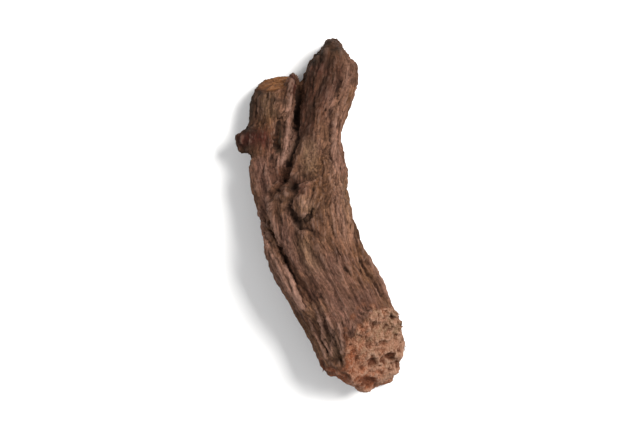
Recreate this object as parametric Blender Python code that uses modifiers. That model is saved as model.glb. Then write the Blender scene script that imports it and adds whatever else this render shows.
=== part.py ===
"""Indian madder root: one forked piece of dried root stock, cut and broken off at its ends.

The piece lies as it would on a table: +Z is up, +Y points to the forked end and the
origin is on the table under the middle of the piece. All lengths are in metres.
"""

import math

import bmesh
import bpy
from mathutils import Vector, noise
from mathutils.geometry import intersect_point_line

MM = 0.001
NAME = "madder_root"

# Each limb is a row of (x, y, z, half width), in millimetres, along its middle.
# The stock runs from its torn end up into the right prong.
STOCK = (
    (9.0, -28.6, 4.9, 4.8),
    (8.2, -25.4, 5.5, 6.2),
    (7.4, -22.6, 6.0, 7.1),
    (6.0, -19.6, 6.4, 7.1),
    (4.2, -16.0, 6.5, 6.9),
    (1.9, -11.8, 6.7, 7.1),
    (-0.5, -7.6, 6.9, 7.1),
    (-1.8, -3.4, 7.0, 7.2),
    (-2.0, 0.8, 6.9, 6.9),
    (-1.4, 5.0, 6.3, 5.6),
    (-1.1, 9.2, 5.5, 4.3),
    (-0.6, 13.4, 4.7, 3.7),
    (0.2, 17.6, 4.0, 3.8),
    (1.2, 21.4, 3.6, 4.3),
    (1.7, 25.0, 3.8, 4.1),
    (1.9, 29.0, 4.3, 3.7),
)
# The left prong leaves the stock low on its left side and is sawn off, nearly square.
PRONG = (
    (-3.0, -8.5, 5.8, 4.0),
    (-4.7, -3.6, 5.9, 4.4),
    (-5.8, 0.8, 5.7, 4.4),
    (-6.9, 5.0, 5.1, 4.1),
    (-7.7, 9.2, 4.2, 3.5),
    (-7.7, 13.4, 3.6, 3.5),
    (-7.4, 17.6, 3.2, 3.8),
    (-7.0, 20.6, 3.1, 3.3),
    (-7.0, 23.0, 3.2, 3.2),
)
# A side root once left the prong here; its stub is still on.
STUB = (
    (-8.8, 12.0, 4.4, 2.9),
    (-10.9, 11.7, 4.7, 2.4),
    (-12.4, 11.3, 4.9, 2.0),
    (-13.5, 11.2, 5.0, 1.5),
)
# A lip of bark stands past the saw cut, on the side of the fork.
LIP = (
    (-5.0, 16.5, 4.8, 1.1),
    (-4.6, 19.5, 4.8, 1.2),
    (-4.1, 22.3, 4.7, 0.8),
)
CROTCH_Y = 5.0  # the prongs part from here on
CROTCH_GAP = 0.4  # how far each of them draws back from the other
FLATNESS = 0.87  # height of a cross-section over its width

# Flat cuts: (a point of the plane, the direction it faces)
SAW_CUT = ((-7.0, 20.8, 3.8), (-0.16, 0.89, 0.42))
TORN_FACES = (
    ((5.6, -17.5, 12.4), (0.67, -0.38, 0.64)),
    ((9.9, -24.8, 3.6), (0.62, -0.72, 0.30)),
    ((7.6, -27.3, 4.0), (0.06, -0.98, 0.18)),
    ((2.5, -24.4, 6.0), (-0.42, -0.90, 0.12)),
)
TIP_FACES = (
    ((-0.9, 25.1, 4.0), (-0.80, 0.58, 0.12)),
    ((3.6, 25.3, 4.0), (0.78, 0.62, 0.16)),
    ((1.4, 26.3, 6.6), (0.05, 0.72, 0.70)),
    ((1.4, 27.4, 4.0), (0.05, 0.99, 0.10)),
)

# Marks seen from above: points along each in x and y, half width and height or depth
RIDGES = (
    (((-10.6, 8.0), (-10.4, 1.4), (-8.8, -4.6), (-5.6, -10.4), (-2.3, -14.9)), 0.7, 0.7),
    (((-5.0, 20.6), (-5.0, 14.0), (-5.9, 8.6)), 0.8, 0.55),
    (((4.6, -1.6), (6.3, -5.6), (8.4, -10.2), (11.0, -14.4)), 0.7, 0.5),
    (((4.4, 21.0), (2.6, 13.0), (2.4, 5.0), (3.4, -2.0)), 1.1, 0.45),
)
FURROWS = (
    (((-8.6, -2.4), (-7.0, -5.6), (-4.4, -9.9), (-2.2, -13.6)), 0.45, 1.3),
    (((-6.7, 14.6), (-7.1, 10.6), (-8.0, 7.4)), 0.5, 0.9),
    (((-5.2, 8.4), (-6.2, 5.6)), 0.6, 0.9),
    (((3.0, 22.4), (2.3, 18.6)), 0.45, 0.4),
    (((-5.6, 0.6), (-4.3, -0.9), (-2.9, -2.0), (-0.4, -3.8)), 0.5, 0.7),
    (((-3.1, -1.7), (-1.3, 0.0)), 0.45, 0.5),
    (((6.2, -7.6), (9.4, -13.0)), 0.45, 0.8),
    (((-1.2, -6.6), (2.6, -14.6)), 0.5, 0.4),
    (((2.2, -20.2), (2.6, -23.0)), 0.45, 0.8),
    (((0.2, -16.4), (1.2, -19.0)), 0.45, 0.7),
)
HOLLOWS = (
    ((-4.5, 4.2), 0.9, 1.2),
    ((-9.2, -0.8), 0.6, 0.5),
)
KNOTS = (
    ((-2.6, 2.2), 2.6, 0.7),
    ((-10.0, 12.0), 2.0, 0.4),
)

# Bark relief: (width across the grain, length along it, rise) of the ridges
BROAD_RIDGES = (3.4, 26.0, 0.50)
NARROW_RIDGES = (1.6, 13.0, 0.55)
SWELL = (6.5, 0.45)  # width and rise of the bark's slow swelling
WANDER = ((6.0, 16.0), 1.5)  # the grain sways this far, over these lengths across and along
LEVEL = -0.68  # brings the relief's mean back to the smooth limbs
# Broken wood: (width, rise)
TORN_LUMPS = (3.2, 0.9)
TORN_KNOBS = (2.3, 1.5)

VOXEL = 0.30 * MM  # grid on which the limbs grow together
FINAL_VOXEL = 0.21 * MM  # grid that closes the skin again after the relief is raised
TRIANGLES = 10800
BARK = {"colour": (0.150, 0.094, 0.066, 1.0), "roughness": 0.9}


def clear_scene():
    for obj in list(bpy.data.objects):
        bpy.data.objects.remove(obj)


def applied(obj):
    """The object with its modifiers worked into its mesh."""
    graph = bpy.context.evaluated_depsgraph_get()
    mesh = bpy.data.meshes.new_from_object(obj.evaluated_get(graph))
    obj.modifiers.clear()
    obj.data = mesh
    return obj


def limb(name, rows, collection):
    """A tube through the rows, with its own width at each, flattened and closed at both ends."""
    curve = bpy.data.curves.new(name, "CURVE")
    curve.dimensions = "3D"
    curve.bevel_depth = MM
    curve.bevel_resolution = 8
    curve.resolution_u = 6
    curve.use_fill_caps = True
    spline = curve.splines.new("BEZIER")
    spline.bezier_points.add(len(rows) - 1)
    for point, (x, y, z, half_width) in zip(spline.bezier_points, rows):
        point.co = (x * MM, y * MM, z * MM / FLATNESS)
        point.radius = half_width
        point.handle_left_type = "AUTO"
        point.handle_right_type = "AUTO"
    tube = bpy.data.objects.new(name + "_guide", curve)
    collection.objects.link(tube)
    bpy.context.view_layer.update()
    graph = bpy.context.evaluated_depsgraph_get()
    mesh = bpy.data.meshes.new_from_object(tube.evaluated_get(graph))
    bpy.data.objects.remove(tube)
    shape = bmesh.new()
    shape.from_mesh(mesh)
    bmesh.ops.remove_doubles(shape, verts=shape.verts, dist=0.01 * MM)
    bmesh.ops.scale(shape, verts=shape.verts, vec=(1.0, 1.0, FLATNESS))
    return shape


def cut_off(shape, point, facing):
    """Removes what lies past a plane and closes the cut."""
    cut = bmesh.ops.bisect_plane(
        shape,
        geom=shape.verts[:] + shape.edges[:] + shape.faces[:],
        plane_co=Vector(point) * MM,
        plane_no=Vector(facing),
        clear_outer=True,
    )
    rim = [item for item in cut["geom_cut"] if isinstance(item, bmesh.types.BMEdge)]
    bmesh.ops.contextual_create(shape, geom=rim)


def grown_together(collection):
    """The limbs and what stands on them as one closed skin."""
    stock = limb("stock", STOCK, collection)
    for point, facing in TORN_FACES + TIP_FACES:
        cut_off(stock, point, facing)
    prong = limb("prong", PRONG, collection)
    cut_off(prong, *SAW_CUT)
    stub = limb("stub", STUB, collection)
    lip = limb("lip", LIP, collection)
    whole = bmesh.new()
    for shape in (stock, prong, stub, lip):
        mesh = bpy.data.meshes.new("limb")
        bmesh.ops.recalc_face_normals(shape, faces=shape.faces)
        shape.to_mesh(mesh)
        shape.free()
        whole.from_mesh(mesh)
    mesh = bpy.data.meshes.new(NAME)
    whole.to_mesh(mesh)
    whole.free()
    root = bpy.data.objects.new(NAME, mesh)
    collection.objects.link(root)
    skin = root.modifiers.new("grow_together", "REMESH")
    skin.mode = "VOXEL"
    skin.voxel_size = VOXEL
    fillet = root.modifiers.new("fillet", "SMOOTH")
    fillet.factor = 0.5
    fillet.iterations = 6
    return applied(root)


def middle_at(rows, y):
    """Where a limb's middle is, and its half width, at a height along Y."""
    rows = sorted(rows, key=lambda row: row[1])
    if y <= rows[0][1]:
        return rows[0]
    for low, high in zip(rows, rows[1:]):
        if y <= high[1]:
            share = (y - low[1]) / (high[1] - low[1])
            return tuple(a + (b - a) * share for a, b in zip(low, high))
    return rows[-1]


def grain_at(point):
    """The point in a space where its limb, and so the grain, is straight, and how near the crotch is."""
    places = []
    for rows in (STOCK, PRONG):
        x, y, z, half_width = middle_at(rows, point.y)
        beyond = max(0.0, rows[0][1] - point.y, point.y - rows[-1][1])
        offset = Vector((point.x - x, (point.z - z) / FLATNESS))
        places.append((offset.length / half_width + beyond, offset))
    between = places[0][0] - places[1][0]
    share = min(1.0, max(0.0, 0.5 + 3.0 * between))
    in_crotch = max(0.0, 1.0 - abs(between) * 3.0) * min(1.0, max(0.0, (point.y - CROTCH_Y) / 4.0))
    offset = places[0][1].lerp(places[1][1], share)
    turn = 0.016 * point.y + 0.25 * share
    across = offset.x * math.cos(turn) - offset.y * math.sin(turn)
    up = offset.x * math.sin(turn) + offset.y * math.cos(turn)
    return Vector((across, up, point.y)), in_crotch


def ridged(grain, across, along, rise, seed):
    """Rounded ridges with narrow furrows between them, running along the grain: 0 in a furrow."""
    place = Vector((grain.x / across, grain.y / across, grain.z / along + seed))
    return rise * min(1.0, abs(noise.noise(place)) * 2.4)


def distance_to_line(x, y, points):
    """How far a place is from a line through the points, seen from above."""
    here = Vector((x, y))
    nearest = math.inf
    for start, end in zip(points, points[1:]):
        foot, share = intersect_point_line(here, start, end)
        foot = Vector(end) if share > 1.0 else Vector(start) if share < 0.0 else foot
        nearest = min(nearest, (here - foot).length)
    return nearest


def bump(distance, half_width):
    return math.exp(-((distance / half_width) ** 2))


def marks_from_above(point, facing_up):
    """Height of the ridges, furrows, knots and hollows that lie on the upper side."""
    seen = min(1.0, max(0.0, facing_up * 2.5 + 0.2))
    if seen == 0.0:
        return 0.0
    height = 0.0
    for points, half_width, rise in RIDGES:
        height += rise * bump(distance_to_line(point.x, point.y, points), half_width)
    for points, half_width, depth in FURROWS:
        height -= depth * bump(distance_to_line(point.x, point.y, points), half_width)
    for centre, half_width, rise in KNOTS:
        height += rise * bump(math.dist(centre, (point.x, point.y)), half_width)
    for centre, half_width, depth in HOLLOWS:
        height -= depth * bump(math.dist(centre, (point.x, point.y)), half_width)
    return height * seen


def on_cut(point, normal, place, facing, least=0.75):
    """1 on a flat cut, 0 on the bark; least is how square to the cut the skin must be."""
    facing = Vector(facing).normalized()
    off_plane = abs((point - Vector(place)).dot(facing))
    square = min(1.0, max(0.0, (normal.dot(facing) - least) / 0.15))
    return square * min(1.0, max(0.0, (0.9 - off_plane) / 0.4))


def torn_height(point):
    """Lumps of the broken wood, with creases between them."""
    width, rise = TORN_LUMPS
    lumps = noise.noise(point / width) * rise
    width, rise = TORN_KNOBS
    nearest, second = noise.voronoi(point / width)[0][:2]
    return lumps + min(0.55, second - nearest) * rise - 0.1


def bark_height(point, normal):
    """How far the bark stands in or out of the smooth limbs."""
    grain, in_crotch = grain_at(point)
    (across, along), reach = WANDER
    wander = noise.noise(Vector((grain.x / across, grain.y / across, grain.z / along))) * reach
    grain.x += wander
    grain.y += wander * 0.6
    width, rise = SWELL
    height = LEVEL + noise.noise(grain / width) * rise
    height += ridged(grain, *BROAD_RIDGES, seed=3.0) + ridged(grain, *NARROW_RIDGES, seed=11.0)
    height = height * (1.0 - in_crotch) - CROTCH_GAP * in_crotch
    return height + marks_from_above(point, normal.z)


def relief_at(point, normal):
    """Height of the relief at a point of the smooth skin, in millimetres."""
    sawn = on_cut(point, normal, *SAW_CUT)
    torn = max(on_cut(point, normal, *face, least=0.55) for face in TORN_FACES)
    bark = (1.0 - sawn) * (1.0 - torn)
    height = torn * torn_height(point)
    if bark > 0.0:
        height += bark * bark_height(point, normal)
    return height


def raise_relief(root):
    """Moves each point of the skin along its normal, by the height of the relief there."""
    mesh = root.data
    heights = [relief_at(vertex.co / MM, vertex.normal) * MM for vertex in mesh.vertices]
    places = [vertex.co + vertex.normal * height for vertex, height in zip(mesh.vertices, heights)]
    for vertex, place in zip(mesh.vertices, places):
        vertex.co = place
    mesh.update()


def close_skin(root):
    """Makes one skin again where raised bark folds over itself."""
    remesh = root.modifiers.new("close_skin", "REMESH")
    remesh.mode = "VOXEL"
    remesh.voxel_size = FINAL_VOXEL
    soften = root.modifiers.new("soften", "SMOOTH")
    soften.factor = 0.3
    soften.iterations = 1
    return applied(root)


def thin_out(root):
    """Fewer, larger triangles, the smallest ones kept where the bark turns most."""
    thin = root.modifiers.new("thin_out", "DECIMATE")
    bpy.context.view_layer.update()
    graph = bpy.context.evaluated_depsgraph_get()
    whole = root.evaluated_get(graph).to_mesh()
    whole.calc_loop_triangles()
    thin.ratio = TRIANGLES / len(whole.loop_triangles)
    thin.use_collapse_triangulate = True
    root.evaluated_get(graph).to_mesh_clear()
    return applied(root)


def rest_on_table(root, collection):
    """Cuts the lowest points flat, so that the piece rests on small spots at Z 0."""
    slab_mesh = bpy.data.meshes.new("table")
    slab = bmesh.new()
    bmesh.ops.create_cube(slab, size=1.0)
    bmesh.ops.scale(slab, verts=slab.verts, vec=(0.1, 0.1, 0.02))
    bmesh.ops.translate(slab, verts=slab.verts, vec=(0.0, 0.0, -0.01))
    slab.to_mesh(slab_mesh)
    slab.free()
    table = bpy.data.objects.new("table", slab_mesh)
    table.hide_render = True
    table.display_type = "WIRE"
    collection.objects.link(table)
    flat = root.modifiers.new("flat_spots", "BOOLEAN")
    flat.operation = "DIFFERENCE"
    flat.object = table
    return applied(root)


def centre_origin(root):
    """Puts the origin under the middle of the piece."""
    xs = [v.co.x for v in root.data.vertices]
    ys = [v.co.y for v in root.data.vertices]
    middle = Vector(((min(xs) + max(xs)) / 2, (min(ys) + max(ys)) / 2, 0.0))
    for vertex in root.data.vertices:
        vertex.co -= middle
    print("moved by", [round(c / MM, 2) for c in middle])


def bark_material():
    material = bpy.data.materials.new("bark")
    material.use_nodes = True
    shader = material.node_tree.nodes["Principled BSDF"]
    shader.inputs["Base Color"].default_value = BARK["colour"]
    shader.inputs["Roughness"].default_value = BARK["roughness"]
    return material


def build():
    clear_scene()
    parts = bpy.data.collections.new("indian_madder_root")
    cutters = bpy.data.collections.new("cutters")
    for collection in (parts, cutters):
        bpy.context.scene.collection.children.link(collection)
    root = grown_together(parts)
    raise_relief(root)
    close_skin(root)
    thin_out(root)
    rest_on_table(root, cutters)
    centre_origin(root)
    root.data.shade_smooth()
    root.data.set_sharp_from_angle(angle=math.radians(50))
    root.data.materials.append(bark_material())


build()
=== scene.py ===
# %% [markdown]
# # A piece of Indian madder root
#
# This is one short, forked piece of dried root. Its trunk curves, one prong is sawn off at a slant,
# the other ends in a blunt tip, a side root has left a stub, and the lower end is torn open, so that
# the paler wood shows.
#
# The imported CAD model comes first. It gives the size, the place and the main form, and everything
# below is made to fit it. All lengths are in metres, and MM turns millimetres into metres.

import math
import random

import bpy
import numpy as np
from mathutils import Matrix, Vector, kdtree, noise


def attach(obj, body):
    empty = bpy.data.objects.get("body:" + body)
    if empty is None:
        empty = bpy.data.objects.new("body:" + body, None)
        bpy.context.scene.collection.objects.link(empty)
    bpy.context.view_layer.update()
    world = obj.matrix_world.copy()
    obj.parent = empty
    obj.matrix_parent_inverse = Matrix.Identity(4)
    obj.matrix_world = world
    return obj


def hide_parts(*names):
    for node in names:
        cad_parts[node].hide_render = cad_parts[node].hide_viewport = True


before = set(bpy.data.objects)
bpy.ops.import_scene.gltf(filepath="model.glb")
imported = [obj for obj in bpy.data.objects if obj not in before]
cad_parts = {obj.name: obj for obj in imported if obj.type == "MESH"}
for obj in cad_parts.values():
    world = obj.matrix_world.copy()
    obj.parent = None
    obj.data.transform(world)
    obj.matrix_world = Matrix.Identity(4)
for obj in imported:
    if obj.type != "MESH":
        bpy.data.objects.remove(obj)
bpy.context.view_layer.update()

MM = 0.001
CAD_NODE = "madder_root"

# %% [markdown]
# ## Camera
#
# The real piece was seen from above, lying on a white ground with its fork at the top. A long lens
# from far off keeps the sides from leaning outwards. The camera stands a few degrees towards the
# torn end, as a person bending over a table does.

# %% The camera
VIEW_HEIGHT = 0.066
CAMERA_AWAY = 0.42
CAMERA_TIP = math.radians(3.0)
IMAGE_SHAPE = 640 / 426
SENSOR_WIDTH = 36.0
MIDDLE_HEIGHT = 0.006

camera_data = bpy.data.cameras.new("camera")
camera = bpy.data.objects.new("camera", camera_data)
bpy.context.scene.collection.objects.link(camera)
bpy.context.scene.camera = camera
camera_data.sensor_width = SENSOR_WIDTH
camera_data.lens = SENSOR_WIDTH * CAMERA_AWAY / (VIEW_HEIGHT * IMAGE_SHAPE)
camera_data.clip_start = 0.01
camera.location = (
    0.0,
    -math.sin(CAMERA_TIP) * CAMERA_AWAY,
    MIDDLE_HEIGHT + math.cos(CAMERA_TIP) * CAMERA_AWAY,
)
camera.rotation_euler = (CAMERA_TIP, 0.0, 0.0)
print("lens", round(camera_data.lens), "mm")

# %% [markdown]
# ## Ground and light
#
# A near-white sheet lies under the root. One large soft light stands to the right and a little
# beyond the fork, so that ridges catch light on their right and throw short shade to the left. The
# bright surroundings fill the shade, as in a studio tent.

# %% The ground and the lights
PAPER_WHITE = (0.86, 0.86, 0.86, 1.0)
SURROUNDINGS_STRENGTH = 0.54
LIGHTS = (
    # name, place, width, watts, colour
    ("key_light", (0.36, 0.17, 0.46), 0.30, 7.4, (1.0, 0.985, 0.96)),
    ("fill_light", (-0.45, -0.25, 0.50), 0.50, 1.6, (0.96, 0.98, 1.0)),
)

bpy.ops.object.select_all(action="DESELECT")
bpy.ops.mesh.primitive_plane_add(size=3.0, location=(0.0, 0.0, 0.0))
ground = bpy.context.active_object
ground.name = "ground"
paper = bpy.data.materials.new("white_paper")
paper.use_nodes = True
paper_shader = paper.node_tree.nodes["Principled BSDF"]
paper_shader.inputs["Base Color"].default_value = PAPER_WHITE
paper_shader.inputs["Roughness"].default_value = 0.95
ground.data.materials.append(paper)

surroundings = bpy.data.worlds.new("surroundings")
bpy.context.scene.world = surroundings
surroundings.use_nodes = True
background = surroundings.node_tree.nodes["Background"]
background.inputs["Color"].default_value = (1.0, 1.0, 1.0, 1.0)
background.inputs["Strength"].default_value = SURROUNDINGS_STRENGTH


def soft_light(name, place, width, watts, colour):
    """A square area light at place, turned to the root."""
    data = bpy.data.lights.new(name, "AREA")
    data.shape = "SQUARE"
    data.size = width
    data.energy = watts
    data.color = colour
    light = bpy.data.objects.new(name, data)
    bpy.context.scene.collection.objects.link(light)
    light.location = place
    light.rotation_mode = "QUATERNION"
    light.rotation_quaternion = (-Vector(place)).to_track_quat("-Z", "Y")


for light_row in LIGHTS:
    soft_light(*light_row)
bpy.context.scene.view_settings.view_transform = "Standard"

# %% [markdown]
# ## The root's skin
#
# The CAD solid has the whole form, but its facets are as large as the bark's own wrinkles. A copy of
# it is remeshed on a fine grid. Sculpting would now add wrinkles one by one. Here they are raised by
# rule instead, because a wrinkle runs along a limb that bends, and a rule can follow the limb.

# %% A fine skin from the CAD solid
SKIN_GRID = 0.190 * MM
SAME_POINT = 0.001 * MM


def only_select(obj):
    bpy.ops.object.select_all(action="DESELECT")
    obj.hide_set(False)
    obj.select_set(True)
    bpy.context.view_layer.objects.active = obj


def open_all(obj):
    """Goes into edit mode with everything selected."""
    only_select(obj)
    bpy.ops.object.mode_set(mode="EDIT")
    bpy.ops.mesh.select_all(action="SELECT")


def work_in(obj, kind, **settings):
    """Adds a modifier and applies it at once."""
    only_select(obj)
    modifier = obj.modifiers.new(kind.lower(), kind)
    for name, value in settings.items():
        setattr(modifier, name, value)
    bpy.ops.object.modifier_apply(modifier=modifier.name)


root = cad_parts[CAD_NODE].copy()
root.data = root.data.copy()
root.name = "dried_root"
root.parent = None
for key in list(root.keys()):
    del root[key]
bpy.context.scene.collection.objects.link(root)
open_all(root)
bpy.ops.mesh.remove_doubles(threshold=SAME_POINT)
bpy.ops.object.mode_set(mode="OBJECT")
work_in(root, "REMESH", mode="VOXEL", voxel_size=SKIN_GRID)
work_in(root, "SMOOTH", factor=0.5, iterations=2)
print("skin:", len(root.data.vertices), "points")

# %% [markdown]
# ## Along the grain
#
# Bark wrinkles follow the limb. Each point of the skin therefore gets a second address: how far it
# is from the middle of its limb, sideways and up, and how far along the limb it lies. In that
# address the limb is straight, so a pattern that is stretched along it bends with the real root.

# %% The middle lines of the two limbs, in millimetres: X, Y, Z and half width
STOCK_LINE = np.array((
    (9.3, -29.0, 4.9, 4.8), (7.7, -23.0, 6.0, 7.1), (4.5, -16.4, 6.5, 6.9), (2.2, -12.2, 6.7, 7.1),
    (-0.2, -8.0, 6.9, 7.1), (-1.5, -3.8, 7.0, 7.2), (-1.7, 0.4, 6.9, 6.9), (-1.1, 4.6, 6.3, 5.6),
    (-0.8, 8.8, 5.5, 4.3), (-0.3, 13.0, 4.7, 3.7), (0.5, 17.2, 4.0, 3.8), (1.5, 21.0, 3.6, 4.3),
    (2.2, 28.6, 4.3, 3.7),
))
PRONG_LINE = np.array((
    (-2.7, -8.9, 5.8, 4.0), (-4.4, -4.0, 5.9, 4.4), (-5.5, 0.4, 5.7, 4.4), (-6.6, 4.6, 5.1, 4.1),
    (-7.4, 8.8, 4.2, 3.5), (-7.4, 13.0, 3.6, 3.5), (-7.1, 17.2, 3.2, 3.8), (-6.7, 22.6, 3.2, 3.2),
))
LIMB_CONTRAST = 3.0


def read_points(mesh, what="co"):
    """The places or normals of all points as an array, one row each."""
    values = np.empty(len(mesh.vertices) * 3, np.float32)
    if what == "co":
        mesh.vertices.foreach_get("co", values)
    else:
        mesh.vertex_normals.foreach_get("vector", values)
    return values.reshape(-1, 3).astype(float)


def write_points(mesh, places):
    mesh.vertices.foreach_set("co", places.astype(np.float32).ravel())
    mesh.update()


def offset_from(line, mm):
    """Offset sideways and up from a limb's middle, and its length over the limb's half width."""
    middle = np.column_stack([np.interp(mm[:, 1], line[:, 1], line[:, i]) for i in (0, 2, 3)])
    offset = mm[:, (0, 2)] - middle[:, :2]
    beyond = np.maximum(0.0, line[0, 1] - mm[:, 1]) + np.maximum(0.0, mm[:, 1] - line[-1, 1])
    return offset, np.linalg.norm(offset, axis=1) / middle[:, 2] + beyond


def grain_address(mm):
    """Sideways, up and along the grain, in millimetres, and the share of the prong in it."""
    from_stock, stock_ratio = offset_from(STOCK_LINE, mm)
    from_prong, prong_ratio = offset_from(PRONG_LINE, mm)
    share = np.clip(0.5 + LIMB_CONTRAST * (stock_ratio - prong_ratio), 0.0, 1.0)
    offset = from_stock + (from_prong - from_stock) * share[:, None]
    return np.column_stack((offset, mm[:, 1])), share


mm = read_points(root.data) / MM
grain, prong_share = grain_address(mm)
print("points on the prong:", int((prong_share > 0.5).sum()), "of", len(mm))

# %% [markdown]
# ## Where the wood is bare
#
# Two places show no bark: the torn end and the sawn end. They are found by plane, from the same cuts
# that the CAD solid has, on a smoothed copy of the skin, so that lumps don't break the edge up. A
# little noise then frays the edge of the torn part.

# %% Smoothing over the skin, and the bare places
def neighbour_ends(mesh):
    ends = np.empty(len(mesh.edges) * 2, np.int32)
    mesh.edges.foreach_get("vertices", ends)
    return ends.reshape(-1, 2)


def smoothed(values, ends, rounds):
    """Each point takes the mean of its neighbours, again and again."""
    first, second = ends[:, 0], ends[:, 1]
    count = np.bincount(ends.ravel(), minlength=len(values)).astype(float)
    count[count == 0.0] = 1.0
    values = values.reshape(len(values), -1).copy()
    for _ in range(rounds):
        for i in range(values.shape[1]):
            column = values[:, i]
            total = np.bincount(first, column[second], len(column))
            total += np.bincount(second, column[first], len(column))
            values[:, i] = 0.5 * column + 0.5 * total / count
    return values.squeeze()


def unit(vectors):
    return vectors / np.maximum(np.linalg.norm(vectors, axis=-1, keepdims=True), 1e-9)


def step(low, high, values):
    """0 below low, 1 above high, and an even slope between."""
    return np.clip((values - low) / (high - low), 0.0, 1.0)


def waves(places, size, seed=0.0):
    """Soft noise from -1 to 1. Size is how wide its humps are: one number, or one for each axis."""
    scaled = places / size + seed
    return np.array([noise.noise(Vector(p)) for p in scaled])


CALM_ROUNDS, CALM_NORMAL_ROUNDS = 27, 20
EDGE_WIDTH = 0.3
# each cut: a place in it, the way it faces, and how squarely the skin has to face the same way
TORN_PLANES = (
    ((5.9, -17.9, 12.4), (0.67, -0.38, 0.64), 0.62),
    ((10.2, -25.2, 3.6), (0.62, -0.72, 0.30), 0.62),
    ((7.9, -27.7, 4.0), (0.06, -0.98, 0.18), 0.70),
    ((2.8, -24.8, 6.0), (-0.42, -0.90, 0.12), 0.84),
)
SAW_PLANE = ((-6.7, 20.4, 3.8), (-0.16, 0.89, 0.42))
TORN_REACH, SAW_REACH, SAW_LEAST = 1.3, 0.7, 0.80

ends = neighbour_ends(root.data)
calm = smoothed(mm, ends, CALM_ROUNDS)
calm_normals = unit(smoothed(read_points(root.data, "normal"), ends, CALM_NORMAL_ROUNDS))


def on_plane(plane, reach, least, fray=0.0):
    """1 where the calm skin lies on a cut, 0 on the bark."""
    place, facing = np.array(plane[0]), unit(np.array(plane[1]))
    off = np.abs((calm - place) @ facing) + fray
    square = step(least, least + 0.12, calm_normals @ facing - 0.12 * fray)
    return square * step(reach + EDGE_WIDTH, reach, off)


fray = 0.55 * waves(mm, 1.4, 5.0) + 0.35 * waves(mm, 0.6, 9.0)
torn = np.max([on_plane(plane, TORN_REACH, least, fray) for *plane, least in TORN_PLANES], axis=0)
torn *= step(-13.6, -14.6, mm[:, 1] + 0.6 * fray)
sawn = on_plane(SAW_PLANE, SAW_REACH, SAW_LEAST)
bark = (1.0 - torn) * (1.0 - sawn)
print("torn", int((torn > 0.5).sum()), "sawn", int((sawn > 0.5).sum()), "points")

# %% [markdown]
# ## Bark relief
#
# Dried madder bark has shrunk on the wood below it. That leaves long wrinkles in several sizes, thin
# scales of cork that have lifted or fallen off, and short cracks across the grain. Each layer is
# one pattern in the grain address, and they are added up as a height.

# %% Wrinkles, scales and cross cracks
RIDGE_MEAN = 0.6
WIDE_RISE, NARROW_RISE, THIN_RISE = 0.07, 0.11, 0.11
SCALE_RISE, SCALE_RIM_DEPTH, CRACK_DEPTH = 0.11, 0.10, 0.10
GRIT_RISE, LUMP_RISE, PEBBLE_RISE = 0.10, 0.07, 0.20
GROOVE_FILL = 0.55


def ridges(places, size, seed):
    """Rounded ridges between narrow furrows: 0 in a furrow and 1 on a ridge."""
    return np.minimum(1.0, np.abs(waves(places, size, seed)) * 2.6)


def scales(places, size, seed):
    """A number for each scale of cork, the same all over the scale, and how near its rim is."""
    scaled = places / size + seed
    number = np.empty(len(scaled))
    rim = np.empty(len(scaled))
    for i, p in enumerate(scaled):
        (nearest, second), (centre, *_) = (found[:2] for found in noise.voronoi(Vector(p)))
        number[i] = noise.cell(centre * 7.31)
        rim[i] = second - nearest
    return number * 0.5 + 0.5, rim


sway = 0.6 * waves(grain, (3.0, 3.0, 6.0), 21.0)
twist = 0.22 * waves(grain, (1.2, 1.2, 2.6), 23.0)
swayed = grain + np.column_stack((sway + twist, 0.6 * sway - twist, np.zeros(len(sway))))
wide = ridges(swayed, (1.5, 1.5, 9.0), 2.0)
narrow = ridges(swayed, (0.80, 0.80, 4.2), 31.0)
thin = ridges(swayed, (0.42, 0.42, 2.4), 37.0)
scale_tone, scale_rim = scales(swayed, (1.35, 1.35, 3.6), 4.0)
crossed = step(0.05, 0.35, waves(grain, (4.0, 4.0, 6.0), 51.0))
across = ridges(swayed, (1.5, 1.5, 0.55), 61.0)
grit = waves(mm, 0.5, 71.0)

height = WIDE_RISE * (wide - RIDGE_MEAN) + NARROW_RISE * (narrow - RIDGE_MEAN)
height += THIN_RISE * (thin - RIDGE_MEAN)
height += SCALE_RISE * (scale_tone - 0.5) - SCALE_RIM_DEPTH * (1.0 - step(0.0, 0.10, scale_rim))
height -= CRACK_DEPTH * crossed * (1.0 - across)
height += GRIT_RISE * grit + LUMP_RISE * waves(mm, 0.9, 73.0)
pebbly = step(-2.0, -9.0, grain[:, 2]) * (0.7 + 0.4 * waves(mm, 4.0, 75.0))
pebbles = waves(grain, (0.62, 0.62, 0.85), 78.0) + 0.5 * waves(grain, (0.34, 0.34, 0.5), 79.0)
height = height * (1.0 - 0.5 * pebbly) + pebbly * PEBBLE_RISE * pebbles
groove_depth = np.maximum(0.0, np.sum((calm - mm) * calm_normals, axis=1))
height += (GROOVE_FILL + 0.3 * pebbly) * groove_depth
print("bark relief from", round(height.min(), 2), "to", round(height.max(), 2), "mm")

# %% [markdown]
# ## Marks of this one root
#
# The fork's deep fissure, the strip that peels off the left side, the branch scar below the fork and
# the splits near the torn end make this piece what it is. Each is a line seen from above, with its
# own width and depth, and it touches only skin that faces up.

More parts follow.
